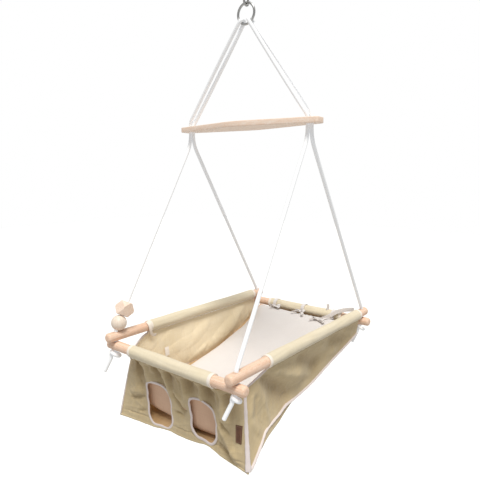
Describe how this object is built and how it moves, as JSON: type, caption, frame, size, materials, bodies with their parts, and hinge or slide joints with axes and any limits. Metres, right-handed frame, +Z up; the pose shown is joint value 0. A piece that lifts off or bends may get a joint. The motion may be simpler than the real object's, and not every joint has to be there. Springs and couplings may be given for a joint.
{
  "type": "hanging baby cradle",
  "caption": "Wedge-shaped cloth sling cradle with leg holes on crossed wooden dowels, hung by ropes from a spreader bar, ring and screw hook.",
  "frame": {"origin": "centre of the screw hook's flange on the ceiling face, from which the whole cradle hangs", "axes": "+Z up, out of the flange and along the screw; -Y towards the leg-hole end of the cradle, +Y towards its shallow end; +X along the spreader bar"},
  "size_m": [0.4569, 0.668, 1.1468],
  "materials": {
    "beech": "fine-sanded, unlacquered pale beech",
    "pale_beech": "smooth pale turned ball",
    "rope": "matte braided cotton rope",
    "linen": "matte woven linen-cotton canvas",
    "binding": "matte cotton bias binding",
    "pad": "soft matte cotton",
    "leather": "smooth brown leather, blank",
    "steel": "satin zinc-plated steel"
  },
  "bodies": {
    "hook": {"ceiling_hook": "steel"},
    "ring": {"hanging_ring": "steel"},
    "hanger": {"bridle_rope_left": "rope", "bridle_rope_right": "rope", "spreader_bar": "beech"},
    "cradle": {"rope_front_left": "rope", "rope_front_right": "rope", "rope_back_left": "rope", "rope_back_right": "rope", "knot_front_left": "rope", "knot_front_right": "rope", "knot_back_left": "rope", "knot_back_right": "rope", "dowel_front": "beech", "dowel_back": "beech", "dowel_left": "beech", "dowel_right": "beech", "sleeve_front": "linen", "sleeve_back": "linen", "sleeve_left": "linen", "sleeve_right": "linen", "side_panel_left": "linen", "side_panel_right": "linen", "front_panel": "linen", "floor_panel": "linen", "corner_piping_left": "binding", "corner_piping_right": "binding", "side_piping_left": "binding", "side_piping_right": "binding", "leg_hole_trim_left": "binding", "leg_hole_trim_right": "binding", "front_piping": "linen", "mattress_pad": "pad", "pad_tie_left": "pad", "pad_tie_middle": "pad", "pad_tie_right": "pad", "label_blank": "leather"},
    "bead_round": {"bead_round": "pale_beech"},
    "bead_faceted": {"bead_faceted": "beech"}
  },
  "joints": [
    {"name": "ring_swing", "type": "hinge", "parent": "hook", "child": "ring", "pos_m": [0, 0, -0.052], "axis": [0, 1, 0], "range_deg": [-20, 20]},
    {"name": "hanger_swing", "type": "hinge", "parent": "ring", "child": "hanger", "pos_m": [0, 0, -0.09288], "axis": [1, 0, 0], "range_deg": [-25, 25]},
    {"name": "cradle_swing", "type": "hinge", "parent": "hanger", "child": "cradle", "pos_m": [0, 0, -0.3547], "axis": [1, 0, 0], "range_deg": [-15, 15]},
    {"name": "bead_round_slide", "type": "slide", "parent": "cradle", "child": "bead_round", "axis": [-0.0004, 0.4961, 0.8682], "range_m": [0, 0.2]},
    {"name": "bead_faceted_slide", "type": "slide", "parent": "bead_round", "child": "bead_faceted", "axis": [-0.0004, 0.4961, 0.8682], "range_m": [0, 0.1]}
  ]
}
